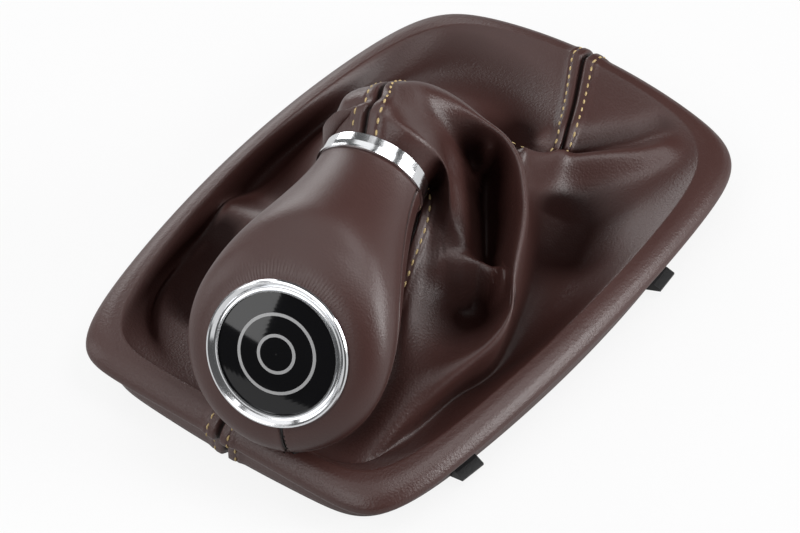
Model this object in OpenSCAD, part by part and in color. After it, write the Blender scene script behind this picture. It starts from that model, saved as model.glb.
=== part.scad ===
// Gear shift knob with a leather gaiter on its clip-in frame, lying as it is sold.
// Origin: middle of the frame's seating plane. +X runs to the far end, +Y to the left side, +Z up.
// All sizes are in millimetres.

/* [View] */
// Node to build, or all of them

/* [Frame] */
// Length of the frame without the bow of its far end
frame_length = 195; // [165:1:225]
// Width of the frame across its ends
frame_width = 122; // [100:1:145]
// How much wider the far end is than the near end
end_widening = 4; // [0:0.5:10]
// Outward bow of each long side
side_bow = 9; // [0:0.5:16]
// Outward bow of the far end
far_bow = 5; // [0:0.5:10]
// Rise of the rim in the middle of its length
rim_arch = 4; // [0:0.5:8]
// Rise of the rim in the middle of the far end
far_rise = 7; // [0:0.5:12]
// Squareness of the rim's corners, where 2 is an ellipse
corner_squareness = 11; // [6:0.5:14]
// Height of the rim's lower edge above the seat at the corners
rim_height = 12; // [9:0.5:20]
// Height of the rounded rim above its lower edge
crest_height = 6.2; // [5:0.1:10]
// Distance from the rim's edge in to its crest
crest_inset = 7.5; // [6:0.5:12]
// Distance from the rim's edge in to the skirt's leather
skirt_inset = 6; // [5:0.5:9]
// Wall of the moulded skirt
skirt_wall = 2.2; // [1.6:0.1:3]

/* [Clips] */
// Width of each clip along the frame
clip_width = 9; // [6:0.5:14]
// Reach of each clip out from the skirt
clip_reach = 5; // [3:0.5:8]
// Width of the notch in the leather round each clip
notch_width = 22; // [14:1:28]
// Place of the near pair of clips along X
near_clip_x = -57; // [-65:1:-40]
// Place of the far pair of clips along X
far_clip_x = 42; // [25:1:60]

/* [Leather] */
// Thickness of the leather
leather_thickness = 1.2; // [0.8:0.1:1.6]
// Gap between the leather's lower hem and the seat
hem_height = 2; // [1:0.5:4]

/* [Knob placement] */
// Place of the collar's centre along X
collar_x = -25; // [-35:1:-15]
// Place of the collar's centre along Y
collar_y = -2; // [-10:1:10]
// Height of the collar's centre above the seat
collar_z = 62; // [58:1:72]
// Turn of the knob's axis from the near end towards the right side
knob_heading = 12.5; // [0:0.5:20]
// Droop of the knob's axis below the level
knob_droop = 12.5; // [5:0.5:16]

/* [Knob] */
// Distance along the axis from the collar to the badge's centre
knob_length = 64.6; // [58:0.2:72]
// Rise of the badge's centre above the axis
badge_rise = 2.1; // [0:0.1:6]
// Tilt of the badge away from the axis
badge_tilt = 41.5; // [30:0.5:50]
// Radius of the knob's leather at the collar
neck_radius = 16.5; // [15.5:0.1:19]
// Largest radius of the knob
head_radius = 30.4; // [27:0.1:33]
// Place of the largest radius, from 0 at the collar to 1 at the badge
head_place = 0.82; // [0.7:0.01:0.88]
// Rise of the knob's back in the middle of its length
back_rise = 2.2; // [0:0.1:4]
// Extra fullness of the head's underside, as a share of its radius
underside_fullness = 0.088; // [0:0.002:0.12]
// Turn of the knob's side seams round its axis, towards the right side
seam_turn = 14; // [0:1:20]

/* [Badge] */
// Outer radius of the bezel ring
bezel_radius = 22; // [20:0.1:24]
// Height of the bezel's outer lip above the leather's end
bezel_height = 1.5; // [1:0.1:2.5]
// Radius of the badge disc
badge_radius = 18.2; // [14:0.1:19]
// Height of the badge disc's dome
badge_dome = 0.9; // [0.4:0.1:2]
// Radius of the outer mark ring at the middle of its line
outer_mark_radius = 11.7; // [9:0.1:14]
// Radius of the inner mark ring at the middle of its line
inner_mark_radius = 5.5; // [3:0.1:8]
// Width of the marks' lines
mark_width = 0.95; // [0.5:0.05:1.6]
// Depth of the marks in the disc
mark_depth = 0.4; // [0.2:0.05:0.6]

/* [Neck] */
// Length of the chrome collar along the axis
collar_length = 5.5; // [4:0.1:8]
// Wall of the chrome collar
collar_wall = 1; // [0.8:0.1:1.5]
// Height of the bright lip at the collar's knob edge
collar_lip = 0.5; // [0.2:0.1:1]
// Radius of the lever's bore
lever_bore_radius = 6; // [5:0.1:7]
// Depth of the lever's bore into the knob
lever_bore_depth = 45; // [30:1:48]
// Wall of the lever bush
bush_wall = 3; // [2:0.1:3.5]
// Length of the bush's tail behind the neck sleeve
bush_tail = 7; // [6:0.5:10]
// Clearance between pieces that slide together
fit_gap = 0.1; // [0.05:0.05:0.2]

/* [Hidden] */

fine = 96;                      // facets asked for on turned pieces
collar_centre = [collar_x, collar_y, collar_z];
bush_radius = lever_bore_radius + bush_wall;
sleeve_back = collar_length + 3.5;         // how far the sleeve reaches behind the knob's end
tie_radius = neck_radius - collar_wall + collar_lip/2 - fit_gap;
leather_neck = tie_radius - 0.8;           // outer radius of the gaiter's end, under the tie
sleeve_radius = leather_neck - leather_thickness - 2*fit_gap;
recess_radius = badge_radius + 1.8;
boss_radius = 5;
boss_length = 5;
carrier_depth = 4;
disc_thickness = 1;

brown = [0.26, 0.19, 0.18];
black = [0.05, 0.05, 0.055];
chrome_grey = [0.82, 0.83, 0.85];
white = [0.92, 0.92, 0.92];

// The rim's outline at u (0 at the far end, 0.25 on the left side, 0.5 at the near end), moved in
// by inset. It is a superellipse with bowed sides, and its corners get rounder as it moves in.
function wrap(u) = u - floor(u);
function signed_power(a, p) = sign(a)*pow(abs(a), p);
function outline(u, inset) =
    let (round_share = 1/(1 + inset/12),
         squareness = 4.2 + (corner_squareness - 4.2)*round_share,
         e = 0.37*squareness,
         quarter = floor(wrap(u)*4 + 1e-9),
         f = max(0, wrap(u)*4 - quarter),
         angle = 90*(quarter + pow(f, e)/(pow(f, e) + pow(1 - f, e))),
         c = signed_power(cos(angle), 2/squareness),
         s = signed_power(sin(angle), 2/squareness))
    [(frame_length/2 - inset)*c + (c > 0 ? far_bow*c*c*(1 - s*s) : 0),
     (frame_width/2 - inset + end_widening*c/2 + side_bow*(1 - c*c))*s,
     rim_height + rim_arch*(1 - c*c) + (c > 0 ? far_rise*c*c*(1 - s*s) : 0)];

// Distance of a long side from the X axis at x, moved in by inset, and the side's slope there
function side_y(x, inset) =
    let (c = x/(frame_length/2 - inset)) frame_width/2 - inset + end_widening*c/2 + side_bow*(1 - c*c);
function side_slope(x, inset) = atan((side_y(x + 1, inset) - side_y(x - 1, inset))/2);

// The leather's fold lines, each a closed loop of 16 stations from the far end by the left side.
// The valley lies along the rim; it was drawn on a frame of the size below and stretches with it.
drawn_length = 195;
drawn_width = 122;
valley_loop = [
    [51, -16, 13], [62, 8, 10], [60, 33, 8], [44, 49, 5], [26, 55, 2], [-1, 55, 1], [-38, 54, 1],
    [-68, 44, 1], [-70, -4, 3], [-81, -37, 2], [-66, -45, 2], [-44, -47, 1], [-26, -50, 1],
    [1, -43, 3], [21, -34, 5], [37, -23, 10]];
// The crest of the bulge round the neck, from the collar's centre
crest_loop = [
    [41, 4, 6], [28, 11, 13], [19, 19, 13], [16, 23, 6], [10, 24, -4], [-2, 26, -29], [-17, 21, -45],
    [-27, 6, -47], [-21, -16, -40], [-31, -33, -37], [-23, -43, -34], [-12, -50, -30], [-1, -52, -24],
    [9, -47, -17], [30, -36, -10], [42, -21, -2]];
// The hollow between the crest and the neck, from the collar's centre
hollow_loop = [
    [19, 1, 18], [12, 6, 20], [6, 12, 16], [4, 15, 9], [4, 19, -1], [7, 21, -16], [6, 14, -22],
    [5, 3, -24], [2, -13, -20], [-2, -23, -28], [1, -31, -34], [8, -34, -35], [16, -31, -33],
    [25, -25, -30], [34, -18, -24], [38, -10, -10]];
loop_places = [0, 0.30, 0.56, 0.76, 0.90, 0.955, 1];

// Folds laid over the loft: each has its line, from the collar's centre, its half width and its lift
folds = [
    // long ridge that runs into the far corner, and the groove behind it
    [[[60, -16, -28], [76, -18, -40], [86, -26, -43], [96, -35, -44], [104, -40, -43]], 5, [0, 0, 6.5]],
    [[[72, -9, -32], [84, -12, -40], [93, -21, -42], [104, -30, -42], [111, -34, -41]], 5, [0, 0, -4]],
    // wide dish between that ridge and the right side
    [[[73, -26, -44], [68, -35, -47], [54, -42, -48]], 12, [0, 0, -4]],
    // dimple on the bulge
    [[[30, -1, 10], [35, -6, 3]], 4, [0, 0, -3]],
    // short ridge in from the left side
    [[[2, 56, -49], [2, 51, -48], [1, 43, -46]], 5.5, [0, 0, 6]],
    // ridge between the two hollows beside the knob, and the hollows above and below it
    [[[-2, -22, -26], [6, -27, -28], [13, -35, -29], [13, -41, -27]], 4.5, [0, 0, 7]],
    [[[39, -7, -4], [37, -12, -12], [30, -17, -20], [21, -21, -22]], 6, [2, -1, -7]],
    [[[1, -35, -35], [9, -36, -35]], 6, [0, 0, -4]]];

// A point at u round a closed loop of stations, by a Catmull-Rom spline
function round_loop(loop, u) =
    let (n = len(loop), k = wrap(u)*n, i = floor(k), f = k - i,
         a = loop[(i + n - 1) % n], b = loop[i % n], c = loop[(i + 1) % n], d = loop[(i + 2) % n])
    0.5*(2*b + (c - a)*f + (2*a - 5*b + 4*c - d)*f*f + (3*b - a - 3*c + d)*f*f*f);

// The knob's axis, its sideways direction and its upward direction
axis_dir = [-cos(knob_heading)*cos(knob_droop), -sin(knob_heading)*cos(knob_droop), -sin(knob_droop)];
side_dir = [-sin(knob_heading), cos(knob_heading), 0];
up_dir = cross(side_dir, axis_dir);

function bell(d, w) = exp(-pow(d/w, 2));
function turn_from(u, place) = wrap(u - place + 0.5) - 0.5;
far_twist = 12;
near_twist = -35;
function neck_point(u, back, r) =
    let (a = 90 - 360*u + far_twist*bell(turn_from(u, 0), 0.3) + near_twist*bell(turn_from(u, 0.5), 0.2))
    collar_centre - back*axis_dir + r*(cos(a)*side_dir + sin(a)*up_dir);

// The seven loops that the leather passes through at u, from the rim's crest to the collar
function rim_point(u) = outline(u, crest_inset) + [0, 0, crest_height];
function valley_point(u) =
    let (p = round_loop(valley_loop, u))
    [p[0]*frame_length/drawn_length, p[1]*frame_width/drawn_width, p[2] + rim_height];
function loops_at(u) = [
    rim_point(u), valley_point(u),
    collar_centre + round_loop(crest_loop, u), collar_centre + round_loop(hollow_loop, u),
    neck_point(u, collar_length + 6.5, neck_radius + 2.5), neck_point(u, collar_length, leather_neck),
    neck_point(u, 2, leather_neck)];

// Distance of p from a fold's line, and the lift that all the folds give at p
function step_gap(p, a, b) =
    let (e = b - a, k = max(0, min(1, (p - a)*e/(e*e)))) norm(p - a - k*e);
function line_gap(p, line) = min([for (i = [0:len(line) - 2]) step_gap(p, line[i], line[i + 1])]);
function lift(p, i = 0) =
    i == len(folds) ? [0, 0, 0] : bell(line_gap(p, folds[i][0]), folds[i][1])*folds[i][2] + lift(p, i + 1);

// A point of the gaiter at u round it and v from the rim (0) to the collar (1)
function gaiter_point(u, v) =
    let (p = smooth_point(u, v), fade = min(1, 5*v)*max(0, min(1, 12*(0.93 - v))))
    fade == 0 ? p : p + fade*lift(p - collar_centre);
function smooth_point(u, v) =
    let (p = loops_at(u), q = loop_places,
         k = v < q[1] ? 0 : v < q[2] ? 1 : v < q[3] ? 2 : v < q[4] ? 3 : v < q[5] ? 4 : 5,
         h = q[k + 1] - q[k],
         t = (v - q[k])/h,
         inward = (outline(u, crest_inset + 6) - outline(u, crest_inset) - [0, 0, 3.2])*4.5,
         into_collar = (collar_length - 2)/(q[6] - q[5])*axis_dir,
         start = k == 0 ? inward : k == 5 ? into_collar : (p[k + 1] - p[k - 1])/(q[k + 1] - q[k - 1]),
         end = k >= 4 ? into_collar : (p[k + 2] - p[k])/(q[k + 2] - q[k]))
    (2*t*t*t - 3*t*t + 1)*p[k] + (t*t*t - 2*t*t + t)*h*start + (3*t*t - 2*t*t*t)*p[k + 1]
    + (t*t*t - t*t)*h*end;

// The leather round the rim, from the hem up the skirt and over the rounded edge: inset and height
hem_drop = rim_height - hem_height;
rim_profile = [
    [skirt_inset, -hem_drop], [skirt_inset, -1.5], [0.6, -1], [0, 0], [0.3, 0.3*crest_height],
    [0.27*crest_inset, 0.68*crest_height], [0.6*crest_inset, 0.93*crest_height]];
function rim_leather(u, k) =
    k == 0 ? let (p = outline(u, skirt_inset)) [p[0], p[1], hem_height]
           : outline(u, rim_profile[k][0]) + [0, 0, rim_profile[k][1]];

loft_rows = 22;
function loft_place(j) = pow(j/loft_rows, 0.9);
function leather_column(u) = concat(
    [for (k = [0:len(rim_profile) - 1]) rim_leather(u, k)],
    [for (j = [0:loft_rows]) gaiter_point(u, loft_place(j))]);

// The column at u moved in by the leather's thickness
function unit(a) = a/max(1e-6, norm(a));
function lining_column(u) =
    let (c = leather_column(u), before = leather_column(u - 0.006), after = leather_column(u + 0.006),
         n = len(c) - 1)
    [for (j = [0:n])
        c[j] - leather_thickness*unit(cross(after[j] - before[j], c[min(j + 1, n)] - c[max(j - 1, 0)]))];

// A closed sheet between a grid of outer points and a grid of inner points
module sheet(outer, inner) {
    m = len(outer);
    n = len(outer[0]);
    points = concat([for (row = outer) for (p = row) p], [for (row = inner) for (p = row) p]);
    function at(i, j, side) = side*m*n + i*n + j;
    polyhedron(points, concat(
        [for (i = [0:m - 2]) for (j = [0:n - 2]) [at(i, j, 0), at(i + 1, j + 1, 0), at(i + 1, j, 0)]],
        [for (i = [0:m - 2]) for (j = [0:n - 2]) [at(i, j, 0), at(i, j + 1, 0), at(i + 1, j + 1, 0)]],
        [for (i = [0:m - 2]) for (j = [0:n - 2]) [at(i, j, 1), at(i + 1, j, 1), at(i + 1, j + 1, 1)]],
        [for (i = [0:m - 2]) for (j = [0:n - 2]) [at(i, j, 1), at(i + 1, j + 1, 1), at(i, j + 1, 1)]],
        [for (i = [0:m - 2]) [at(i, 0, 0), at(i + 1, 0, 0), at(i + 1, 0, 1)]],
        [for (i = [0:m - 2]) [at(i, 0, 0), at(i + 1, 0, 1), at(i, 0, 1)]],
        [for (i = [0:m - 2]) [at(i, n - 1, 0), at(i + 1, n - 1, 1), at(i + 1, n - 1, 0)]],
        [for (i = [0:m - 2]) [at(i, n - 1, 0), at(i, n - 1, 1), at(i + 1, n - 1, 1)]],
        [for (j = [0:n - 2]) [at(0, j, 0), at(0, j + 1, 1), at(0, j + 1, 0)]],
        [for (j = [0:n - 2]) [at(0, j, 0), at(0, j, 1), at(0, j + 1, 1)]],
        [for (j = [0:n - 2]) [at(m - 1, j, 0), at(m - 1, j + 1, 0), at(m - 1, j + 1, 1)]],
        [for (j = [0:n - 2]) [at(m - 1, j, 0), at(m - 1, j + 1, 1), at(m - 1, j, 1)]]));
}

module gaiter_panel(first, last, columns) {
    places = [for (i = [0:columns]) first + (last - first)*i/columns];
    difference() {
        sheet([for (u = places) leather_column(u)], [for (u = places) lining_column(u)]);
        for (x = [near_clip_x, far_clip_x]) for (side = [-1, 1])
            clip_place(x, side)
                translate([-notch_width/2, -4, -1])
                    cube([notch_width, 8, rim_height - 3]);
    }
}

// Puts its children on the skirt at x, with +Y out of the frame
module clip_place(x, side) {
    translate([x, side*side_y(x, skirt_inset), 0])
        rotate([0, 0, side > 0 ? side_slope(x, skirt_inset) : 180 - side_slope(x, skirt_inset)])
            children();
}

module gaiter_left_panel() { color(brown) gaiter_panel(0, 0.5, 24); }
module gaiter_right_panel() { color(brown) gaiter_panel(0.5, 1, 42); }

// Section of the moulding under the leather: inset from the rim's edge, height above it
skirt_out = skirt_inset + leather_thickness + fit_gap;
under = leather_thickness + fit_gap;
lip_rise = crest_height - leather_thickness - 3*fit_gap;
frame_section = [
    [skirt_out, under - 1], [under + 1.4, under - 0.6], [under + 0.9, under], [under + 1.1, 0.34*lip_rise],
    [under + 2.6, 0.62*lip_rise], [skirt_out - 1.8, 0.8*lip_rise], [skirt_out - 1, 0.7*lip_rise],
    [skirt_out, 0.25*lip_rise], [skirt_out + skirt_wall/2, -1.5], [skirt_out + skirt_wall, -4]];
frame_stations = 76;

module frame_body() {
    k = len(frame_section) + 2;
    points = [for (i = [0:frame_stations - 1]) let (u = i/frame_stations)
        for (j = [0:k - 1])
            j == k - 2 ? let (p = outline(u, skirt_out + skirt_wall)) [p[0], p[1], 0] :
            j == k - 1 ? let (p = outline(u, skirt_out)) [p[0], p[1], 0] :
            outline(u, frame_section[j][0]) + [0, 0, frame_section[j][1]]];
    function at(i, j) = (i % frame_stations)*k + j % k;
    polyhedron(points, concat(
        [for (i = [0:frame_stations - 1]) for (j = [0:k - 1]) [at(i, j), at(i + 1, j + 1), at(i + 1, j)]],
        [for (i = [0:frame_stations - 1]) for (j = [0:k - 1]) [at(i, j), at(i, j + 1), at(i + 1, j + 1)]]));
}

module clip() {
    root = -leather_thickness - fit_gap - skirt_wall/2;
    translate([-clip_width/2, 0, 0]) rotate([90, 0, 90])
        linear_extrude(clip_width)
            polygon([[root, 1.8], [0, 1.8], [clip_reach, 3.6], [clip_reach, 4.4], [clip_reach/2, 5.4], [0.6, 5.8],
                     [0.6, 6.6], [root, 6.6]]);
}

module frame() {
    color(black) union() {
        frame_body();
        for (x = [near_clip_x, far_clip_x]) for (side = [-1, 1]) clip_place(x, side) clip();
    }
}

// Puts its children at the collar, with +Z along the knob to its head and +X upward
module at_collar() {
    translate(collar_centre) rotate([0, -knob_droop - 90, knob_heading]) children();
}

// Puts its children at the badge, with +Z out of it
module at_badge() {
    at_collar() translate([badge_rise, 0, knob_length]) rotate([0, badge_tilt, 0]) children();
}

// The knob's spine bends from the axis to the badge's normal; t runs from the collar to the badge
start_pull = 1.1*knob_length;
end_pull = 0.7*knob_length;
function spine(t) =
    (t*t*t - 2*t*t + t)*start_pull*[0, 0, 1] + (3*t*t - 2*t*t*t)*[badge_rise, 0, knob_length]
    + (t*t*t - t*t)*end_pull*[sin(badge_tilt), 0, cos(badge_tilt)]
    + 16*t*t*(1 - t)*(1 - t)*[back_rise, 0, 0];
end_radius = bezel_radius - 0.6;
function closing(t) = t < head_place ? 1 : sqrt(max(0, 1 - pow((t - head_place)/(1 - head_place), 2)));
function girth(t) =
    t < head_place
    ? neck_radius + (head_radius - neck_radius)*sin(90*pow(t/head_place, 1.45))
    : end_radius + (head_radius - end_radius)*closing(t);
function fullness(t, a) =
    underside_fullness*sin(min(180, 90*t/head_place))*closing(t)*pow((1 - sin(a))/2, 2);
// A point of the knob at t along it and angle a round it (0 on the left side, 90 on top)
function knob_point(t, a, depth) =
    let (lean = badge_tilt*(3*t*t - 2*t*t*t), r = girth(t)*(1 + fullness(t, a)) - depth)
    spine(t) + r*(cos(a)*[0, 1, 0] + sin(a)*[cos(lean), 0, -sin(lean)]);

// The back panel is a tongue that narrows to nothing below the head. The front panel is a hood
// round it, and past the tongue's tip its own edges meet in a short seam. The side seams run
// straight to seam_bend and then sweep under the head to tip_place.
seam_bend = 0.5;
tip_place = 0.906;
bend_row = 5;
tip_row = 13;
knob_rows = 18;
knob_sides = 32;
tip_angle = asin((tip_place - head_place)/(1 - head_place));
function knob_place(j) =
    j < bend_row ? seam_bend*j/bend_row :
    j <= tip_row ? seam_bend + (tip_place - seam_bend)*sin(90*(j - bend_row)/(tip_row - bend_row)) :
    head_place + (1 - head_place)*sin(tip_angle + (90 - tip_angle)*(j - tip_row)/(knob_rows - tip_row));
function seam_sweep(j) =
    j < bend_row ? 0 : 89.6*(1 - cos(90*(min(j, tip_row) - bend_row)/(tip_row - bend_row)));

// A piece of the knob's leather up to its last row, across the top (front) or the bottom
module grip_panel(front, rows, columns) {
    function angle(i, j) =
        let (sweep = seam_sweep(j), first = front ? 180 + sweep : 360 - sweep,
             span = front ? 180 + 2*sweep : 180 - 2*sweep)
        first - span*i/columns - seam_turn;
    function grid(depth) =
        [for (i = [0:columns]) [for (j = [0:rows]) knob_point(knob_place(j), angle(i, j), depth)]];
    at_collar() sheet(grid(0), grid(leather_thickness));
}
module grip_front_panel() { color(brown) grip_panel(true, knob_rows, 32); }
module grip_back_panel() { color(brown) grip_panel(false, tip_row, 14); }

module knob_core() {
    // the leather's facets dip below its curve, so the core keeps this much clear of them
    clear = 0.75;
    points = [for (j = [0:knob_rows]) for (i = [0:knob_sides - 1])
              knob_point(knob_place(j), 360*i/knob_sides, leather_thickness + clear)];
    function at(j, i) = j*knob_sides + i % knob_sides;
    color(black) difference() {
        at_collar() polyhedron(points, concat(
            [[for (i = [knob_sides - 1:-1:0]) i]],
            [[for (i = [0:knob_sides - 1]) at(knob_rows, i)]],
            [for (j = [0:knob_rows - 1]) for (i = [0:knob_sides - 1]) [at(j, i), at(j, i + 1), at(j + 1, i)]],
            [for (j = [0:knob_rows - 1]) for (i = [0:knob_sides - 1]) [at(j, i + 1), at(j + 1, i + 1), at(j + 1, i)]]));
        at_collar() translate([0, 0, -1]) cylinder(r = bush_radius, h = lever_bore_depth + 5, $fn = fine);
        at_badge() translate([0, 0, -carrier_depth]) cylinder(r = recess_radius, h = carrier_depth + 1, $fn = fine);
        at_badge() translate([0, 0, -carrier_depth - boss_length])
            cylinder(r = boss_radius, h = boss_length + 1, $fn = fine);
    }
}

// Blind sleeve that the lever goes into
module lever_bush() {
    bush_end = lever_bore_depth + 4;
    color(black) at_collar() difference() {
        translate([0, 0, -sleeve_back - bush_tail])
            cylinder(r = bush_radius, h = bush_end + sleeve_back + bush_tail, $fn = fine);
        translate([0, 0, -sleeve_back - bush_tail - 1])
            cylinder(r = lever_bore_radius, h = lever_bore_depth + sleeve_back + bush_tail + 1, $fn = fine);
    }
}

module neck_sleeve() {
    color(black) at_collar() translate([0, 0, -sleeve_back]) difference() {
        cylinder(r = sleeve_radius, h = sleeve_back, $fn = fine);
        translate([0, 0, -1]) cylinder(r = bush_radius, h = sleeve_back + 2, $fn = fine);
    }
}

// Band round the gaiter's end, hidden by the collar
module gaiter_tie() {
    color(black) at_collar() translate([0, 0, -collar_length + 2]) difference() {
        cylinder(r = tie_radius, h = 2.2, $fn = fine);
        translate([0, 0, -1]) cylinder(r = leather_neck, h = 5, $fn = fine);
    }
}

// Chrome band between the knob and the gaiter, with a bright lip at the knob
module collar_ring() {
    inner = tie_radius + fit_gap;
    outer = inner + collar_wall;
    color(chrome_grey) at_collar() rotate_extrude($fn = fine)
        polygon([[inner, -collar_length], [outer, -collar_length], [outer + 0.1, -collar_length/2],
                 [outer, -1.1], [outer + collar_lip, -0.9], [outer + collar_lip, -0.2], [outer, 0], [inner, 0]]);
}

// Ear clamp round the bush's tail
module lever_clamp() {
    band = 1.2;
    color(chrome_grey) at_collar() translate([0, 0, -sleeve_back - bush_tail + 1]) difference() {
        union() {
            cylinder(r = bush_radius + band, h = bush_tail - 2, $fn = fine);
            translate([-bush_radius - 3.2, -2, 0]) cube([4, 4, bush_tail - 2]);
        }
        translate([0, 0, -1]) cylinder(r = bush_radius, h = bush_tail, $fn = fine);
    }
}

module bezel_ring() {
    bore = badge_radius + 0.1;
    top = bezel_height;
    color(chrome_grey) at_badge() rotate_extrude($fn = fine)
        polygon([[bore, -carrier_depth], [recess_radius, -carrier_depth], [recess_radius, 0], [bezel_radius, 0],
                 [bezel_radius, 0.5*top], [bezel_radius - 0.3, 0.9*top], [bezel_radius - 0.8, top],
                 [bezel_radius - 1.3, 0.85*top], [bore + 1.5, 0.3*top], [bore + 1, 0.25*top],
                 [bore + 0.6, 0.3*top], [bore + 0.4, 0.6*top], [bore, 0.6*top]]);
}

module badge_carrier() {
    color(black) at_badge() {
        translate([0, 0, -carrier_depth])
            cylinder(r = badge_radius, h = carrier_depth + 0.2 - disc_thickness, $fn = fine);
        translate([0, 0, -carrier_depth - boss_length]) cylinder(r = boss_radius, h = boss_length + 0.1, $fn = fine);
    }
}

// Half section of the domed disc, and of the strip that one mark's line takes of it
dome_steps = 16;
module disc_section(drop) {
    polygon(concat([[0, 0.2 - disc_thickness], [badge_radius, 0.2 - disc_thickness]],
        [for (i = [dome_steps:-1:0]) let (r = badge_radius*i/dome_steps)
         [r, 0.2 - drop + badge_dome*(1 - pow(i/dome_steps, 2))]]));
}
module mark_section(r) {
    difference() {
        intersection() {
            disc_section(0);
            translate([r - mark_width/2, -2]) square([mark_width, 5]);
        }
        disc_section(mark_depth);
    }
}
module badge_disc() {
    color(black) at_badge() rotate_extrude($fn = fine) difference() {
        disc_section(0);
        mark_section(outer_mark_radius);
        mark_section(inner_mark_radius);
    }
}
module outer_mark_ring() { color(white) at_badge() rotate_extrude($fn = fine) mark_section(outer_mark_radius); }
module inner_mark_ring() { color(white) at_badge() rotate_extrude($fn = fine) mark_section(inner_mark_radius); }

frame();
gaiter_left_panel();
gaiter_right_panel();
knob_core();
lever_bush();
grip_front_panel();
grip_back_panel();
bezel_ring();
badge_carrier();
badge_disc();
outer_mark_ring();
inner_mark_ring();
collar_ring();
neck_sleeve();
gaiter_tie();
lever_clamp();
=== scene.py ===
import math
import bpy
import numpy as np
from mathutils import Matrix, Vector


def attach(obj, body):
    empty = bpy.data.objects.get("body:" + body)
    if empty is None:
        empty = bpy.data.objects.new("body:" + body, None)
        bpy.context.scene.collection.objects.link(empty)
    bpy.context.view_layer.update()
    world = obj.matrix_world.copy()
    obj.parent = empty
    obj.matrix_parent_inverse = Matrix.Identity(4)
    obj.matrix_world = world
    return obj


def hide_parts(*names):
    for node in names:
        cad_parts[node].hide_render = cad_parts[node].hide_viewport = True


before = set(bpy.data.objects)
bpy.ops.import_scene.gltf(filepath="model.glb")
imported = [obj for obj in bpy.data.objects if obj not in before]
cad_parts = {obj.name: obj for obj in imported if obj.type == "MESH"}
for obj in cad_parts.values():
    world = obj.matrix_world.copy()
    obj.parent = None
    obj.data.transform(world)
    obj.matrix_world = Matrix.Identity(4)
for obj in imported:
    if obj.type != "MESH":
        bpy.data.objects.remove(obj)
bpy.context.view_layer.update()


# Camera: stands above the knob's head, to the right of the near end, 0.9 m from the middle of the
# frame's rim, as in the photograph. The image is 800 by 533 pixels on a sensor 36 mm wide.
image_width, image_height, sensor_width = 800, 533, 36
camera_azimuth, camera_elevation = math.radians(-53.74), math.radians(45.03)
camera_distance = 0.9
focal_pixels = 2865.9
centre_pixel = (413.5, 250.5)
rim_edge_z = 0.012
back = Vector((math.sin(camera_azimuth)*math.cos(camera_elevation),
               -math.cos(camera_azimuth)*math.cos(camera_elevation), math.sin(camera_elevation)))
right = Vector((math.cos(camera_azimuth), math.sin(camera_azimuth), 0))
up = back.cross(right)
camera_data = bpy.data.cameras.new("camera")
camera_data.sensor_fit = "HORIZONTAL"
camera_data.sensor_width = sensor_width
camera_data.lens = focal_pixels*sensor_width/image_width
camera_data.shift_x = -(centre_pixel[0] - image_width/2)/image_width
camera_data.shift_y = (centre_pixel[1] - image_height/2)/image_width
camera_data.clip_start, camera_data.clip_end = 0.05, 20
camera = bpy.data.objects.new("camera", camera_data)
camera.matrix_world = Matrix((
    (right.x, up.x, back.x, back.x*camera_distance),
    (right.y, up.y, back.y, back.y*camera_distance),
    (right.z, up.z, back.z, back.z*camera_distance + rim_edge_z),
    (0, 0, 0, 1)))
bpy.context.collection.objects.link(camera)
bpy.context.scene.camera = camera
bpy.context.scene.view_settings.view_transform = "Standard"


# Floor and light: a white sweep under the part in a dark room, with seven soft square lamps round
# it. Their strengths bring the leather's light and shade to the photograph's. The camera sees the
# floor and the room as white. Reflections show them dimmer, and they light the part only a little.
class Wire:
    """A socket in a node tree. Arithmetic on it adds Math nodes, and node() adds any other node."""

    def __init__(self, tree, socket=None):
        self.tree, self.socket = tree, socket

    def node(self, kind, settings=None, inputs=None, out=0):
        """Adds a node, sets its settings, then gives its sockets their values or links."""
        n = self.tree.nodes.new(kind)
        for name, value in (settings or {}).items():
            setattr(n, name, value)
        for name, value in (inputs or {}).items():
            if isinstance(value, Wire):
                self.tree.links.new(value.socket, n.inputs[name])
            else:
                n.inputs[name].default_value = value
        return Wire(self.tree, n.outputs[out])

    def math(self, operation, *values):
        """A Math node on the values, each a number or a socket."""
        return self.node("ShaderNodeMath", {"operation": operation}, dict(enumerate(values)))

    def __add__(self, other): return self.math("ADD", self, other)
    def __radd__(self, other): return self.math("ADD", other, self)
    def __sub__(self, other): return self.math("SUBTRACT", self, other)
    def __rsub__(self, other): return self.math("SUBTRACT", other, self)
    def __mul__(self, other): return self.math("MULTIPLY", self, other)
    def __rmul__(self, other): return self.math("MULTIPLY", other, self)

    def between(self, low, high):
        """0 below low, 1 above high, smooth between them."""
        return self.node("ShaderNodeMapRange", {"interpolation_type": "SMOOTHSTEP"},
                         {"Value": self, "From Min": low, "From Max": high})

    def mix(self, first, second):
        """The colour first where this is 0 and second where it is 1."""
        return self.node("ShaderNodeMix", {"data_type": "RGBA"}, {0: self, 6: first, 7: second}, out=2)

    def blend(self, first, second):
        """The shader first where this is 0 and second where it is 1."""
        return self.node("ShaderNodeMixShader", {}, {0: self, 1: first, 2: second})

    def rays(self, kind):
        """1 for rays of one kind, such as Is Camera Ray, and 0 for others."""
        return self.node("ShaderNodeLightPath", out=kind)


floor_size = 6.0
floor_mesh = bpy.data.meshes.new("floor")
floor_mesh.from_pydata([(-floor_size, -floor_size, 0), (floor_size, -floor_size, 0),
                        (floor_size, floor_size, 0), (-floor_size, floor_size, 0)], [], [(0, 1, 2, 3)])
floor = bpy.data.objects.new("floor", floor_mesh)
bpy.context.collection.objects.link(floor)
plain_white = (1, 1, 1, 1)
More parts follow.
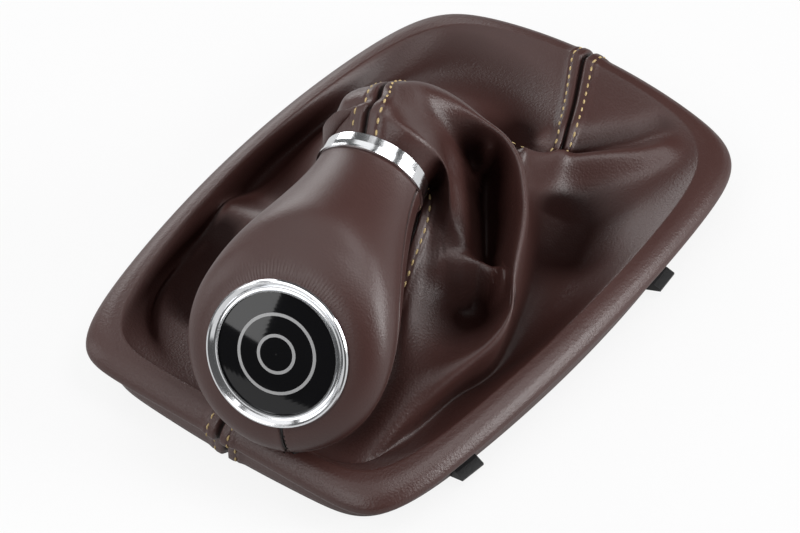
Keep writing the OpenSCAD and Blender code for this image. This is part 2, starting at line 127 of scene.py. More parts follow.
# the share of lit paint in what the camera sees of the floor, which carries the part's shadow
shade_share = 0.14
floor_in_mirrors = 0.70
floor_paint = bpy.data.materials.new("floor_paint")
floor_paint.use_nodes = True
tree = floor_paint.node_tree
tree.nodes.clear()
wire = Wire(tree)
matt = wire.node("ShaderNodeBsdfDiffuse", {}, {"Color": (0.86, 0.86, 0.87, 1)})
bounce = wire.node("ShaderNodeBsdfDiffuse", {}, {"Color": (0.30, 0.30, 0.30, 1)})
white = wire.node("ShaderNodeEmission", {}, {"Color": plain_white, "Strength": 1.0})
pale = wire.node("ShaderNodeEmission", {}, {"Color": plain_white, "Strength": floor_in_mirrors})
lit_floor = wire.node("ShaderNodeMixShader", {}, {0: shade_share, 1: white, 2: matt})
unseen = wire.rays("Is Glossy Ray").blend(bounce, pale)
mixed = wire.rays("Is Camera Ray").blend(unseen, lit_floor)
output = tree.nodes.new("ShaderNodeOutputMaterial")
tree.links.new(mixed.socket, output.inputs["Surface"])
floor_mesh.materials.append(floor_paint)

room_light, room_in_mirrors = 0.02, 0.08
world = bpy.data.worlds.new("surround")
bpy.context.scene.world = world
world.use_nodes = True
tree = world.node_tree
tree.nodes.clear()
wire = Wire(tree)
seen = wire.math("MAXIMUM", wire.rays("Is Camera Ray"), wire.rays("Is Transmission Ray"))
dim = wire.node("ShaderNodeBackground", {}, {"Color": plain_white, "Strength": room_light})
pale = wire.node("ShaderNodeBackground", {}, {"Color": plain_white, "Strength": room_in_mirrors})
bright = wire.node("ShaderNodeBackground", {}, {"Color": plain_white, "Strength": 1.0})
mixed = seen.blend(wire.rays("Is Glossy Ray").blend(dim, pale), bright)
output = tree.nodes.new("ShaderNodeOutputWorld")
tree.links.new(mixed.socket, output.inputs["Surface"])

lamp_distance, lamp_aim = 1.1, Vector((0, 0, 0.03))


def soft_box(name, azimuth, elevation, size, watts):
    """A square area light in the direction given in degrees, azimuth from +X to +Y, facing the part."""
    data = bpy.data.lights.new(name, "AREA")
    data.shape, data.size, data.energy = "SQUARE", size, watts
    lamp = bpy.data.objects.new(name, data)
    a, e = math.radians(azimuth), math.radians(elevation)
    toward = Vector((math.cos(a)*math.cos(e), math.sin(a)*math.cos(e), math.sin(e)))
    lamp.location = lamp_distance*toward + lamp_aim
    lamp.rotation_euler = toward.to_track_quat("Z", "Y").to_euler()
    bpy.context.collection.objects.link(lamp)


for name, azimuth, elevation, size, watts in (
        ("right_box", 296, 20, 0.60, 9.0),
        ("right_top_box", 300, 66, 0.60, 3.8),
        ("far_box", 60, 18, 0.60, 4.0),
        ("left_top_box", 120, 66, 1.00, 3.0),
        ("left_box", 180, 42, 0.60, 3.2),
        ("left_low_box", 161, 19, 0.42, 1.3),
        ("side_box", 118, 18, 0.60, 2.1)):
    soft_box(name, azimuth, elevation, size, watts)


# Gaiter frame: one moulding of black plastic under the leather. Its skirt and its four clips show
# below the rim. Its solid has the right shape, so it only gets its finish.
def finish_of(name, fixed, build):
    """A material whose Principled shader has the fixed socket values, and those that build returns.
    If build also returns Dull, that share of the finish is matt instead, in the same colour."""
    material = bpy.data.materials.new(name)
    material.use_nodes = True
    tree = material.node_tree
    shader = tree.nodes["Principled BSDF"]
    for socket, value in fixed.items():
        shader.inputs[socket].default_value = value
    start = Wire(tree)
    made = build(start, start.node("ShaderNodeTexCoord", out="Object"))
    dull = made.pop("Dull", None)
    for socket, value in made.items():
        tree.links.new(value.socket, shader.inputs[socket])
    if dull:
        matt = start.node("ShaderNodeBsdfDiffuse", {},
                          {"Color": made["Base Color"], "Normal": made["Normal"]})
        both = dull.blend(Wire(tree, shader.outputs[0]), matt)
        tree.links.new(both.socket, tree.nodes["Material Output"].inputs["Surface"])
    return material


def moulded(start, place):
    """Fine spark-eroded grain: noise at 0.5 mm in the bump, and slow patches in the roughness."""
    grain = start.node("ShaderNodeTexNoise", {}, {"Vector": place, "Scale": 1900.0, "Detail": 2.0})
    patches = start.node("ShaderNodeTexNoise", {}, {"Vector": place, "Scale": 60.0, "Detail": 3.0})
    return {"Roughness": 0.42 + 0.2*patches,
            "Base Color": patches.mix((0.012, 0.012, 0.013, 1), (0.020, 0.020, 0.021, 1)),
            "Normal": start.node("ShaderNodeBump", {},
                                 {"Height": grain, "Strength": 0.25, "Distance": 0.0002})}


moulded_plastic = finish_of("moulded_plastic", {"Specular IOR Level": 0.4}, moulded)


def dress(node, material):
    """Gives a CAD node's slots one material."""
    mesh = bpy.data.objects[node].data
    if not mesh.materials:
        mesh.materials.append(material)
    for k in range(len(mesh.materials)):
        mesh.materials[k] = material


dress("frame", moulded_plastic)


# Gaiter: two panels of soft brown leather, sewn together at the middles of the short ends, pulled
# over the moulding's rim and down its skirt, and tied round the knob's neck. The neck hangs over
# towards the near end, so the leather folds into a bulge with a hollow ear on its right.
mm = 0.001
frame_length, frame_width, end_widening, side_bow, far_bow = 195.0, 122.0, 4.0, 9.0, 5.0
rim_arch, far_rise, rim_height = 4.0, 7.0, 12.0
corner_squareness, inner_squareness, squareness_fade, corner_spacing = 11.0, 4.2, 12, 0.37
crest_height, crest_inset, skirt_inset, hem_height = 6.2, 7.5, 6.0, 2.0
leather_thickness = 1.2
collar_centre = np.array([-25.0, -2.0, 62.0])
knob_heading, knob_droop = math.radians(12.5), math.radians(12.5)
collar_length, neck_radius, leather_neck = 5.5, 16.5, 14.85
axis_dir = np.array([-math.cos(knob_heading)*math.cos(knob_droop),
                     -math.sin(knob_heading)*math.cos(knob_droop), -math.sin(knob_droop)])
side_dir = np.array([-math.sin(knob_heading), math.cos(knob_heading), 0.0])
up_dir = np.cross(side_dir, axis_dir)


def bell(distance, width):
    """A smooth bump of height 1: e to the minus square of distance over width."""
    return np.exp(-(distance/width)**2)


def turn_from(u, place):
    """How far u is from place round the loop, between -0.5 and 0.5."""
    return (u - place + 0.5) % 1 - 0.5


def outline(u, inset):
    """The rim at u, moved in by inset: a superellipse with bowed sides, its top arched in Z. It is
    squarest at the edge, and its points lie closer at the corners."""
    squareness = inner_squareness + (corner_squareness - inner_squareness)/(1 + inset/squareness_fade)
    e = corner_spacing*squareness
    quarter = np.floor((u % 1)*4)
    f = (u % 1)*4 - quarter
    angle = np.pi/2*(quarter + f**e/(f**e + (1 - f)**e))
    c, s = np.cos(angle), np.sin(angle)
    c, s = np.sign(c)*np.abs(c)**(2/squareness), np.sign(s)*np.abs(s)**(2/squareness)
    far = np.clip(c, 0, 1)**2*(1 - s*s)
    return np.stack([(frame_length/2 - inset)*c + far_bow*far,
                     (frame_width/2 - inset + end_widening*c/2 + side_bow*(1 - c*c))*s,
                     rim_height + rim_arch*(1 - c*c) + far_rise*far], -1)


# Fold lines, each a closed loop of 16 stations from the far end by the left side: the valley along
# the rim, and from the collar's centre the bulge's crest and the hollow inside it.
valley_loop = np.array([
    (51, -16, 13), (62, 8, 10), (60, 33, 8), (44, 49, 5), (26, 55, 2), (-1, 55, 1), (-38, 54, 1),
    (-68, 44, 1), (-70, -4, 3), (-81, -37, 2), (-66, -45, 2), (-44, -47, 1), (-26, -50, 1),
    (1, -43, 3), (21, -34, 5), (37, -23, 10)]) + np.array([0, 0, rim_height])
crest_loop = np.array([
    (41, 4, 6), (28, 11, 13), (19, 19, 13), (16, 23, 6), (10, 24, -4), (-2, 26, -29), (-17, 21, -45),
    (-27, 6, -47), (-21, -16, -40), (-31, -33, -37), (-23, -43, -34), (-12, -50, -30),
    (-1, -52, -24), (9, -47, -17), (30, -36, -10), (42, -21, -2)]) + collar_centre
hollow_loop = np.array([
    (19, 1, 18), (12, 6, 20), (6, 12, 16), (4, 15, 9), (4, 19, -1), (7, 21, -16), (6, 14, -22),
    (5, 3, -24), (2, -13, -20), (-2, -23, -28), (1, -31, -34), (8, -34, -35), (16, -31, -33),
    (25, -25, -30), (34, -18, -24), (38, -10, -10)]) + collar_centre
# where the rim, these loops and three rings round the neck lie from the rim (0) to the collar (1)
loop_places = (0, 0.30, 0.56, 0.76, 0.90, 0.955, 1)
# the rim's slope inwards, the ring where the neck flares, and the leather's end under the collar
slope_inset, slope_drop, rim_pull = 6, 3.2, 4.5
flare_length, flare_width, leather_end = 6.5, 2.5, 2
# how far the neck's rings are turned against the rim, at the far and the near side
far_twist, far_twist_width = math.radians(12), 0.3
near_twist, near_twist_width = math.radians(-35), 0.2

# Folds over the loft, each with its line from the collar's centre, its half width and its lift: the
# ridge into the far corner, the groove behind it, the dish beside it, a dimple on the bulge, the
# ridge from the left side, and in the ear a short ridge, the neck's side and two hollows.
folds = [
    ([(60, -16, -28), (76, -18, -40), (86, -26, -43), (96, -35, -44), (104, -40, -43)],
     5.0, (0, 0, 6.5)),
    ([(72, -9, -32), (84, -12, -40), (93, -21, -42), (104, -30, -42), (111, -34, -41)],
     5.0, (0, 0, -4)),
    ([(73, -26, -44), (68, -35, -47), (54, -42, -48)], 12.0, (0, 0, -4)),
    ([(30, -1, 10), (35, -6, 3)], 4.0, (0, 0, -3)),
    ([(2, 56, -49), (2, 49, -48), (0, 38, -46), (-2, 28, -45)], 8.0, (0, 0, 4.5)),
    ([(41, -13, -6), (40, -12, -11), (36, -12, -14)], 3.0, (-2, -1.5, 2)),
    ([(24, -13, -2), (20, -17.5, -4.6), (17, -20.6, -9), (14, -22, -14)], 5.0, (-1.5, 1.5, -2)),
    ([(39, -9, -6), (38, -14, -16), (32, -18, -24), (24, -24, -29)], 6.5, (1, 0, -7)),
    ([(4, -32, -36), (12, -33, -36)], 6.0, (0, 0, -3))]
# they fade in over the first fifth of the way from the rim, and out before the neck
folds_in, folds_out, folds_end = 5, 12, 0.93

# Between the ear's hollows the leather bridges it along this line, in the ear's part of the way.
ear_ridge = np.array([
    (3, -18, -23), (8.4, -22.4, -21.7), (10.2, -28, -22.6), (12.2, -32.2, -24.3), (12.6, -35.8, -24.7),
    (13.2, -38.8, -23.4), (12.2, -42.1, -19.6)])
bridge_width = 4.2
ear_start, ear_fade_in, ear_end, ear_fade_out, ear_turn, ear_turn_fade = 0.60, 0.06, 0.87, 0.05, 0.53, 20

# Behind the bulge the leather drops to its foot, behind a low ridge. Each has its height, then its
# place and half width round the loop, and its place and half width on the way to the collar.
far_side = [(-12, 0.027, 0.040, 0.385, 0.075), (2.5, -0.035, 0.02, 0.31, 0.06)]


def round_loop(loop, u):
    """A point at u round a closed loop of stations, by a Catmull-Rom spline."""
    n = len(loop)
    k = (u % 1)*n
    i = np.floor(k).astype(int)
    f = (k - i)[..., None]
    a, b, c, d = loop[(i - 1) % n], loop[i % n], loop[(i + 1) % n], loop[(i + 2) % n]
    return 0.5*(2*b + (c - a)*f + (2*a - 5*b + 4*c - d)*f*f + (3*b - a - 3*c + d)*f**3)


def line_gap(points, line):
    """The least distance of each point to a line of straight steps."""
    gaps = []
    for first, last in zip(line[:-1], line[1:]):
        first, step = np.array(first, float), np.array(last, float) - np.array(first, float)
        k = np.clip((points - first) @ step/(step @ step), 0, 1)
        gaps.append(np.linalg.norm(points - first - k[..., None]*step, axis=-1))
    return np.minimum.reduce(gaps)


def ear_bridge(place):
    """How much higher than each place the ear's ridge line is, where it passes nearest as seen from
    above, and a bell of the distance to it there."""
    nearest, height = np.full(place.shape[:-1], 1e9), np.zeros(place.shape[:-1])
    for first, last in zip(ear_ridge[:-1], ear_ridge[1:]):
        step = last - first
        k = np.clip((place - first)[..., :2] @ step[:2]/(step[:2] @ step[:2]), 0, 1)
        gap = np.linalg.norm((place - first - k[..., None]*step)[..., :2], axis=-1)
        height = np.where(gap < nearest, first[2] + k*step[2], height)
        nearest = np.minimum(gap, nearest)
    return np.maximum(height - place[..., 2], 0), bell(nearest, bridge_width)


def gaiter_form(u, v):
    """A point of the leather at u round it and v from the rim (0) to the collar (1): Hermite curves
    through the rim, the three loops and three rings round the neck, then each fold's lift times a bell
    of the distance to its line, the ear's bridge, and the two bells behind the bulge."""
    angle = (np.pi/2 - 2*np.pi*u + far_twist*bell(turn_from(u, 0), far_twist_width)
             + near_twist*bell(turn_from(u, 0.5), near_twist_width))
    outward = np.cos(angle)[..., None]*side_dir + np.sin(angle)[..., None]*up_dir
    rim = outline(u, crest_inset)
    p = [rim + [0, 0, crest_height], round_loop(valley_loop, u), round_loop(crest_loop, u),
         round_loop(hollow_loop, u),
         collar_centre - (collar_length + flare_length)*axis_dir + (neck_radius + flare_width)*outward,
         collar_centre - collar_length*axis_dir + leather_neck*outward,
         collar_centre - leather_end*axis_dir + leather_neck*outward]
    q = loop_places
    into_collar = (collar_length - leather_end)/(q[6] - q[5])*axis_dir + 0*p[0]
    tangent = [(outline(u, crest_inset + slope_inset) - rim - [0, 0, slope_drop])*rim_pull]
    tangent += [(p[k + 1] - p[k - 1])/(q[k + 1] - q[k - 1]) for k in range(1, 5)]
    tangent += [into_collar, into_collar]
    result = np.zeros(p[0].shape)
    for k in range(6):
        h = q[k + 1] - q[k]
        t = np.clip((v - q[k])/h, 0, 1)[..., None]
        here = ((v >= q[k]) & ((v < q[k + 1]) | (k == 5)))[..., None]
        piece = ((2*t**3 - 3*t**2 + 1)*p[k] + (t**3 - 2*t**2 + t)*h*tangent[k]
                 + (3*t**2 - 2*t**3)*p[k + 1] + (t**3 - t**2)*h*tangent[k + 1])
        result = np.where(here, piece, result)
    fade = np.clip(folds_in*v, 0, 1)*np.clip(folds_out*(folds_end - v), 0, 1)
    lift = sum((bell(line_gap(result - collar_centre, line), width)*fade)[..., None]*np.array(rise, float)
               for line, width, rise in folds)
    result = result + lift
    rise, share = ear_bridge(result - collar_centre)
    inside = (np.clip((v - ear_start)/ear_fade_in, 0, 1)*np.clip((ear_end - v)/ear_fade_out, 0, 1)
              * np.clip(ear_turn_fade*(u % 1 - ear_turn), 0, 1))
    result[..., 2] += inside*share*rise
    for height, turn, turn_width, place, place_width in far_side:
        result[..., 2] += height*bell(turn_from(u, turn), turn_width)*bell(v - place, place_width)
    return result


belly_depth, belly_width = 2.6, 0.105


def rim_form(u, w):
    """The leather from the hem (w 0) up the skirt and over the edge to the rim's crest (w 1): straight
    steps through rows with an inset and a rise each. At the near end the skirt bellies out."""
    skirt = skirt_inset - belly_depth*bell(turn_from(u, 0.5), belly_width)
    steps = [(skirt, None), (skirt, -2.2), (skirt - 0.8, -1.5), (1.6, -1.2), (0.4, -0.8),
             (0, 0), (0.3, 0.3*crest_height), (0.27*crest_inset, 0.68*crest_height),
             (0.6*crest_inset, 0.93*crest_height), (crest_inset, crest_height)]
    rows = []
    for inset, rise in steps:
        row = outline(u, inset)
        row[..., 2] = hem_height if rise is None else row[..., 2] + rise
        rows.append(row)
    k = np.clip(w*(len(steps) - 1), 0, len(steps) - 1 - 1e-9)
    i = k.astype(int)
    f = (k - i)[..., None]
    rows = np.stack(rows, 0)
    across = np.arange(u.shape[0])[:, None], np.arange(u.shape[1])[None, :]
    return rows[(i,) + across]*(1 - f) + rows[(i + 1,) + across]*f


def normals_of(grid):
    """Unit normals of a grid of points, from the differences along its two directions."""
    along, across = np.gradient(grid, axis=0), np.gradient(grid, axis=1)
    n = np.cross(along, across)
    return n/np.maximum(np.linalg.norm(n, axis=-1, keepdims=True), 1e-9)


def skin(name, grid, marks):
    """A closed leather sheet under a grid of points in millimetres, with marks as point attributes.
    The grid is its upper side, and its lower side is the grid less the thickness times its normals."""
    m, n = grid.shape[:2]
    lower = grid - leather_thickness*normals_of(grid)
    points = np.concatenate([grid.reshape(-1, 3), lower.reshape(-1, 3)])*mm
    i, j = np.meshgrid(np.arange(m - 1), np.arange(n - 1), indexing="ij")
    a = (i*n + j).ravel()
    top = np.stack([a, a + n, a + n + 1, a + 1], 1)
    bottom = top[:, ::-1] + m*n

    def wall(edge):
        """Faces from a row of the upper side's points to the same row of the lower side."""
        return np.stack([edge[:-1], edge[1:], edge[1:] + m*n, edge[:-1] + m*n], 1)

    edges = [np.arange(n), (m - 1)*n + np.arange(n)[::-1], np.arange(m)[::-1]*n, np.arange(m)*n + n - 1]
    quads = np.concatenate([top, bottom] + [wall(edge) for edge in edges]).astype(np.int32)
    mesh = bpy.data.meshes.new(name)
    mesh.vertices.add(len(points))
    mesh.vertices.foreach_set("co", points.ravel())
    mesh.loops.add(quads.size)
    mesh.loops.foreach_set("vertex_index", quads.ravel())
    mesh.polygons.add(len(quads))
    mesh.polygons.foreach_set("loop_start", np.arange(0, quads.size, 4, dtype=np.int32))
    mesh.update(calc_edges=True)
    mesh.validate()
    mesh.polygons.foreach_set("use_smooth", np.ones(len(mesh.polygons), dtype=bool))
    for key, values in marks.items():
        layer = mesh.attributes.new(key, "FLOAT", "POINT")
        both_sides = np.concatenate([values.ravel(), values.ravel()])
        layer.data.foreach_set("value", both_sides.astype(np.float32))
    piece = bpy.data.objects.new(name, mesh)
    bpy.context.collection.objects.link(piece)
    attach(piece, "root")
    return piece


def toward_edges(columns, edge_columns, edge_share):
    """Places from 0 to 1: within edge_share of each end they lie at the power 1.35 of even steps, so
    they are close together there, and they are even between."""
    k = np.linspace(0, 1, edge_columns, endpoint=False)
    near = edge_share*k**1.35
    return np.concatenate([near, np.linspace(edge_share, 1 - edge_share, columns - 2*edge_columns),
                           1 - near[::-1]])


# the seams: the roll beside them, their depth, the stitches' line and how far that is drawn in
roll_height, roll_width, seam_depth, seam_width = 0.8, 5.6, 1.9, 0.8
stitch_gap, stitch_depth, stitch_width = 4.2, 0.3, 0.6
# the far seam swings to the left side as it climbs over the bulge
far_swing, swing_width, climb_start, climb_length = 0.062, 0.12, 0.26, 0.18
hem_rows, rim_rounds = 56, 4


def gaiter_grid(first, last, columns, rows):
    """Points and seam distance of one panel. Beside its seams the leather is turned under, so it
    stands up in a roll, drops into the seam and is drawn in along the stitches."""
    u = first + (last - first)*toward_edges(columns, edge_columns=34, edge_share=0.02)
    U, W = np.meshgrid(u, np.linspace(0, 1, hem_rows, endpoint=False), indexing="ij")
    rim = rim_form(U, W)
    for _ in range(rim_rounds):
        rim[:, 1:-1] = 0.25*rim[:, :-2] + 0.5*rim[:, 1:-1] + 0.25*rim[:, 2:]
    U, V = np.meshgrid(u, np.linspace(0, 1, rows), indexing="ij")
    climb = np.clip((V - climb_start)/climb_length, 0, 1)
    U = U + far_swing*climb**2*(3 - 2*climb)*bell(turn_from(U, 0), swing_width)
    grid = np.concatenate([rim, gaiter_form(U, V)], 1)
    seam = np.minimum(np.linalg.norm(grid - grid[:1], axis=-1),
                      np.linalg.norm(grid - grid[-1:], axis=-1))
    lift = (roll_height*np.exp(-(seam/roll_width)**6) - seam_depth*np.exp(-(seam/seam_width)**2)
            - stitch_depth*bell(seam - stitch_gap, stitch_width))
    return grid + lift[..., None]*normals_of(grid), seam


fold_start, fold_depth = 1, 4


def depth_in_folds(grid, rounds):
    """From 0 on the open leather to 1 in the bottom of a fold: how far more than fold_start a point
    lies under the mean of its neighbours, over fold_depth. The mean is taken again in each round."""
    mean = grid.copy()
    for _ in range(rounds):
        mean[1:-1] = 0.25*mean[:-2] + 0.5*mean[1:-1] + 0.25*mean[2:]
        mean[:, 1:-1] = 0.25*mean[:, :-2] + 0.5*mean[:, 1:-1] + 0.25*mean[:, 2:]
    return np.clip((((mean - grid)*normals_of(grid)).sum(-1) - fold_start)/fold_depth, 0, 1)


light_brown, brown = (0.068, 0.0260, 0.0220, 1), (0.053, 0.0195, 0.0160, 1)
# painted shade: the first colour on the next line is laid into the bottoms of the folds, where shade falls
fold_brown, seam_brown = (0.014, 0.0048, 0.0040, 1), (0.012, 0.006, 0.005, 1)
# heights in the bump, in metres
pebble_height, pore_height, wrinkle_height, pucker_height = 0.00007, 0.00002, 0.00006, 0.00004


def hide(depth):
    """Soft smooth leather: fine pebbled grain at 0.7 mm, pores, slow patches of colour and gloss, painted
    shade that darkens the folds and makes them duller, and a darker tone down in the seams. Where the
    leather is pulled, puckers follow the sine of 150 times the turn round the knob. depth scales the
    grain's bump."""
    def build(start, place):
        cells = start.node("ShaderNodeTexVoronoi", {"feature": "SMOOTH_F1"},
                           {"Vector": place, "Scale": 1400.0, "Smoothness": 0.7})
        pores = start.node("ShaderNodeTexNoise", {}, {"Vector": place, "Scale": 3400.0, "Detail": 2.0})
        patches = start.node("ShaderNodeTexNoise", {}, {"Vector": place, "Scale": 38.0, "Detail": 4.0})
        wrinkles = start.node("ShaderNodeTexNoise", {}, {"Vector": place, "Scale": 260.0, "Detail": 3.0})
        seam, fold, pull, turn = [start.node("ShaderNodeAttribute", {"attribute_name": name}, out="Fac")
                                  for name in ("seam", "fold", "pull", "turn")]
        in_seam = 1 - seam.between(0.2, 1.1)
        # painted shade: the deeper a point lies in a fold, the nearer its colour is to the darkest brown,
        # and Dull makes it matt
        tone = fold.mix(patches.mix(brown, light_brown), fold_brown)
        puckers = pull*(0.4 + wrinkles)*start.math("SINE", 150.0*turn + 9.0*patches)
        height = (pebble_height*depth*(1 - cells) + pore_height*depth*pores
                  + wrinkle_height*depth*wrinkles + pucker_height*puckers)
        return {"Base Color": in_seam.mix(tone, seam_brown), "Dull": 0.85*fold,
                "Roughness": 0.35 + 0.10*patches + 0.05*cells,
                "Normal": start.node("ShaderNodeBump", {},
                                     {"Height": height, "Strength": 1.0, "Distance": 1.0})}
    return build


rows_under = 6


def line_beside(grid, gap):
    """The points and normals of a grid at a distance of gap from its first column, row by row, from
    the hem to where the leather goes under the collar, or for the knob under the bezel."""
    away = np.linalg.norm(grid - grid[:1], axis=-1)
    i = np.maximum(np.argmax(away > gap, axis=0), 1)
    row = np.arange(grid.shape[1])
    f = ((gap - away[i - 1, row])/np.maximum(away[i, row] - away[i - 1, row], 1e-6))[:, None]
    facing = normals_of(grid)
    # row 40 lies on the rim's edge, or on the knob's side, and faces up
    if facing[0, 40, 2] < 0:
        facing = -facing
    points = grid[i - 1, row]*(1 - f) + grid[i, row]*f
    normals = facing[i - 1, row]*(1 - f) + facing[i, row]*f
    return points[:-rows_under], normals[:-rows_under]


gaiter_leather = finish_of("gaiter_leather", {"Specular IOR Level": 0.62}, hide(1.0))
# how far the means reach for the folds' painted shade, and for the near half's wide fold of painted shade
fold_rounds, wide_fold_rounds = 220, 800
stitch_lines = []
for side_name, first, last, columns in (("left", 0.0, 0.5, 240), ("right", 0.5, 1.0, 276)):
    grid, seam = gaiter_grid(first, last, columns, rows=118)
    # how deep each point lies in a fold, which the leather's material turns into painted shade
    fold = depth_in_folds(grid, fold_rounds)
    if side_name == "left":
        # its near half also gets painted shade as one wide fold, darkening the broad valley beside the knob
        # where shade falls
        near_half = np.clip(4*np.linspace(0, 1, columns) - 1, 0, 1)[:, None]
        fold = np.maximum(fold, near_half*depth_in_folds(grid, wide_fold_rounds))
    panel = skin("gaiter_" + side_name + "_leather", grid, {"seam": seam, "fold": fold})
    panel.data.materials.append(gaiter_leather)
    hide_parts("gaiter_" + side_name + "_panel")
    stitch_lines += [line_beside(grid, stitch_gap), line_beside(grid[::-1], stitch_gap)]


# Stitches of the seams: golden thread in one row on each side, each stitch a short bead of twisted
# thread that dips into the leather at both ends.
def stitches(name, lines, material, pitch, length, wide, high):
    """One mesh of stitches, a pitch apart on each line: rings of 6 points along each stitch, whose
    radius is the root of 1 less 0.94 times the square of the place along it, so both ends close. Its
    middle lies 0.10 mm over the leather, and it falls by 0.38 times that square to its ends."""
    along = np.array([-1, -0.85, -0.45, 0, 0.45, 0.85, 1])
    sides = 6
    whole = len(along)*sides
    round_off = np.sqrt(1 - 0.94*along**2)
    turn = np.arange(sides)/sides*2*np.pi
    end_gap, reach = 0.8, 0.6
    centres, ahead, out = [], [], []
    for points, normals in lines:
        s = np.concatenate([[0], np.cumsum(np.linalg.norm(np.diff(points, axis=0), axis=1))])
        at = np.arange(end_gap, s[-1] - end_gap, pitch)
        spot = [np.stack([np.interp(at + d, s, points[:, c]) for c in range(3)], 1)
                for d in (-reach, 0, reach)]
        centres.append(spot[1])
        ahead.append(spot[2] - spot[0])
        out.append(np.stack([np.interp(at, s, normals[:, c]) for c in range(3)], 1))
    centre, forward, up_ = np.concatenate(centres), np.concatenate(ahead), np.concatenate(out)
    forward /= np.linalg.norm(forward, axis=1, keepdims=True)
    across = np.cross(up_, forward)
    across /= np.linalg.norm(across, axis=1, keepdims=True)
    up_ = np.cross(forward, across)
    k = len(centre)
    rise = 0.10 - 0.38*along**2
    points = (centre[:, None, None] + (along*length/2)[None, :, None, None]*forward[:, None, None]
              + (rise[:, None] + high*round_off[:, None]*np.sin(turn))[None, :, :, None]*up_[:, None, None]
              + (wide*round_off[:, None]*np.cos(turn))[None, :, :, None]*across[:, None, None])
    first = (np.arange(k)*whole)[:, None, None] + (np.arange(len(along) - 1)*sides)[None, :, None]
    here, after = np.arange(sides), (np.arange(sides) + 1) % sides
    walls = np.stack([first + here, first + after, first + sides + after, first + sides + here], -1)
    ends = np.concatenate([np.arange(k)[:, None]*whole + here[::-1],
                           np.arange(k)[:, None]*whole + whole - sides + here])
    mesh = bpy.data.meshes.new(name)
    mesh.from_pydata((points.reshape(-1, 3)*mm).tolist(), [], walls.reshape(-1, 4).tolist() + ends.tolist())
    mesh.polygons.foreach_set("use_smooth", np.ones(len(mesh.polygons), dtype=bool))
    mesh.materials.append(material)
    piece = bpy.data.objects.new(name, mesh)
    bpy.context.collection.objects.link(piece)
    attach(piece, "root")
    return piece


def thread_of(dark, light):
    """Twisted thread: fine noise from dark to light in the colour and in the bump."""
    def build(start, place):
        twist = start.node("ShaderNodeTexNoise", {}, {"Vector": place, "Scale": 2600.0, "Detail": 2.0})
        return {"Base Color": twist.between(0.35, 0.7).mix(dark, light), "Roughness": 0.6 + 0.2*twist,
                "Normal": start.node("ShaderNodeBump", {},
                                     {"Height": twist, "Strength": 0.5, "Distance": 0.0001})}
    return build


golden_thread = finish_of("golden_thread", {"Specular IOR Level": 0.3},
                          thread_of((0.50, 0.36, 0.16, 1), (0.72, 0.56, 0.29, 1)))
stitches("gaiter_stitches", stitch_lines, golden_thread, pitch=3.5, length=2.3, wide=0.36, high=0.26)


# Knob leather: two panels glued over the core and pulled in under the bezel. The front one is a hood
# over the top and round the head. The back one is a tongue that narrows to nothing under the head,
# where the hood's own edges meet in a short seam.
knob_length, badge_rise, badge_tilt = 64.6, 2.1, math.radians(41.5)
start_pull, end_pull, swell_power = 1.1, 0.7, 1.45
head_radius, head_place, back_rise, underside_fullness, bezel_radius = 30.4, 0.82, 2.2, 0.088, 22.0
end_radius = bezel_radius - 0.6
seam_bend, tip_place, seam_turn, full_sweep = 0.5, 0.906, math.radians(14), math.radians(89.6)


def knob_form(t, a):
    """A point of the knob at t from the collar (0) to the badge (1) and a round it (0 on the left
    side, a quarter turn on top): a circle carried along a bent spine, its plane turning with it,
    whose radius swells as a sine and closes as an ellipse, and is fuller below."""
    end_dir = math.sin(badge_tilt)*up_dir + math.cos(badge_tilt)*axis_dir
    spine = ((t**3 - 2*t**2 + t)[..., None]*start_pull*knob_length*axis_dir
             + (3*t**2 - 2*t**3)[..., None]*(badge_rise*up_dir + knob_length*axis_dir)
             + (t**3 - t**2)[..., None]*end_pull*knob_length*end_dir
             + (16*t**2*(1 - t)**2)[..., None]*back_rise*up_dir)
    closing = np.sqrt(np.clip(1 - (np.clip(t - head_place, 0, 1)/(1 - head_place))**2, 0, 1))
    swell = np.sin(np.pi/2*np.minimum(t/head_place, 1)**swell_power)
    girth = np.where(t < head_place, neck_radius + (head_radius - neck_radius)*swell,
                     end_radius + (head_radius - end_radius)*closing)
    fullness = (underside_fullness*np.sin(np.minimum(np.pi, np.pi/2*t/head_place))*closing
                * ((1 - np.sin(a))/2)**2)
    lean = badge_tilt*(3*t**2 - 2*t**3)
    over = np.cos(lean)[..., None]*up_dir - np.sin(lean)[..., None]*axis_dir
    r = girth*(1 + fullness)
    return collar_centre + spine + r[..., None]*(np.cos(a)[..., None]*side_dir + np.sin(a)[..., None]*over)


# the seams' low roll and depth, how much narrower they are than the gaiter's, and over the top the
# puckers' place round the knob, as a share of a turn, and their half widths along it and round it
low_roll, low_roll_width, groove_depth, groove_width, narrower = 0.12, 2.2, 0.6, 0.42, 1.9
pucker_place, pucker_length, pucker_width = 0.21, 0.045, 0.11


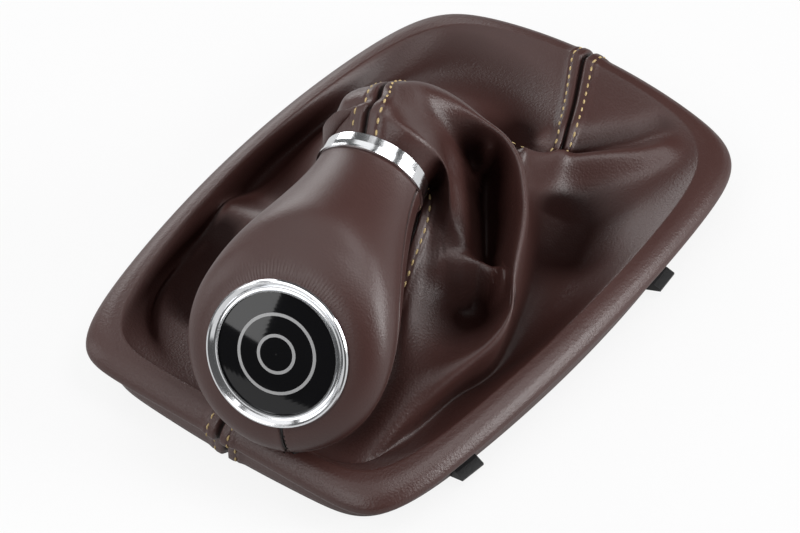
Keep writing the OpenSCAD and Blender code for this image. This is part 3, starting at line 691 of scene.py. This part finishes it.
def grip_grid(front, columns, rows):
    """Points and attributes of one knob panel. The side seams run straight to seam_bend, then turn
    down by full_sweep times one minus the cosine as t nears tip_place with the sine."""
    turned = np.linspace(0, 1, rows//2)
    before = np.linspace(0, seam_bend, rows//4, endpoint=False)
    t = np.concatenate([before, seam_bend + (tip_place - seam_bend)*np.sin(np.pi/2*turned)])
    sweep = np.concatenate([0*before, full_sweep*(1 - np.cos(np.pi/2*turned))])
    if front:
        start = math.asin((tip_place - head_place)/(1 - head_place))
        past = head_place + (1 - head_place)*np.sin(np.linspace(start, np.pi/2, rows//4 + 1)[1:])
        t, sweep = np.concatenate([t, past]), np.concatenate([sweep, full_sweep + 0*past])
    x = toward_edges(columns, edge_columns=26, edge_share=0.03)[:, None]
    first, span = (np.pi + sweep, np.pi + 2*sweep) if front else (2*np.pi - sweep, np.pi - 2*sweep)
    A = first[None] - span[None]*x - seam_turn
    T = t[None] + 0*x
    grid = knob_form(T, A)
    seam = np.minimum(np.linalg.norm(grid - grid[:1], axis=-1),
                      np.linalg.norm(grid - grid[-1:], axis=-1))
    lift = low_roll*np.exp(-(seam/low_roll_width)**4) - groove_depth*np.exp(-(seam/groove_width)**2)
    pull = bell(1 - T, pucker_length)*bell(turn_from(A/(2*np.pi), pucker_place), pucker_width)
    return grid + lift[..., None]*normals_of(grid), {"seam": narrower*seam, "pull": pull, "turn": A}


grip_leather = finish_of("grip_leather", {"Specular IOR Level": 0.62}, hide(0.6))
closing_gap, closing_row = 0.75, 122
for piece_name, front, columns, flat in (("grip_front", True, 230, (0.16, 0.085)),
                                         ("grip_back", False, 150, (0.091, 0.085))):
    grid, marks = grip_grid(front, columns, rows=160)
    panel = skin(piece_name + "_leather", grid, marks)
    panel.data.materials.append(grip_leather)
    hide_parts(piece_name + "_panel")
    if front:
        closing_lines = [tuple(part[closing_row:] for part in line_beside(grid, closing_gap))]
brown_thread = finish_of("brown_thread", {"Specular IOR Level": 0.3},
                         thread_of((0.010, 0.006, 0.005, 1), (0.030, 0.016, 0.012, 1)))
stitches("closing_stitches", closing_lines, brown_thread, pitch=1.5, length=0.9, wide=0.26, high=0.20)


# Hidden plastics: core, bush, sleeve, tie and badge carrier are plain black mouldings, and the
# lever's ear clamp is rolled steel.
def rolled(start, place):
    """Rolled steel: fine noise in the roughness."""
    lines = start.node("ShaderNodeTexNoise", {}, {"Vector": place, "Scale": 900.0, "Detail": 2.0})
    return {"Roughness": 0.28 + 0.15*lines}


clamp_steel = finish_of("clamp_steel", {"Base Color": (0.55, 0.55, 0.56, 1), "Metallic": 1.0}, rolled)
for node in ("knob_core", "lever_bush", "badge_carrier", "neck_sleeve", "gaiter_tie"):
    dress(node, moulded_plastic)
dress("lever_clamp", clamp_steel)


# Chrome: the bezel round the badge and the collar at the neck, mouldings plated and polished to a
# mirror. The bezel sits in the knob's recess, and the collar slides over the end of the neck.
def plated(start, place):
    """Polished plating: a faint haze of slow noise in the roughness."""
    haze = start.node("ShaderNodeTexNoise", {}, {"Vector": place, "Scale": 240.0, "Detail": 3.0})
    return {"Roughness": 0.12 + 0.06*haze}


chrome = finish_of("chrome_plate", {"Base Color": (0.86, 0.87, 0.89, 1), "Metallic": 1.0}, plated)
dress("bezel_ring", chrome)
dress("collar_ring", chrome)


# Badge: a domed disc of high-gloss black plastic that clips into its carrier inside the bezel, with
# two white rings inlaid in its face.
def polished_black(start, place):
    """Deep black: a very faint bloom of slow noise in the roughness."""
    bloom = start.node("ShaderNodeTexNoise", {}, {"Vector": place, "Scale": 120.0, "Detail": 4.0})
    return {"Roughness": 0.03 + 0.03*bloom}


def inlaid_white(start, place):
    """Off-white plastic: slow noise between two greys in the colour."""
    bloom = start.node("ShaderNodeTexNoise", {}, {"Vector": place, "Scale": 300.0, "Detail": 2.0})
    return {"Base Color": bloom.mix((0.42, 0.42, 0.43, 1), (0.52, 0.52, 0.52, 1))}


dress("badge_disc", finish_of("badge_black", {"Base Color": (0.004, 0.004, 0.005, 1)}, polished_black))
badge_white = finish_of("badge_white", {"Roughness": 0.25}, inlaid_white)
dress("outer_mark_ring", badge_white)
dress("inner_mark_ring", badge_white)
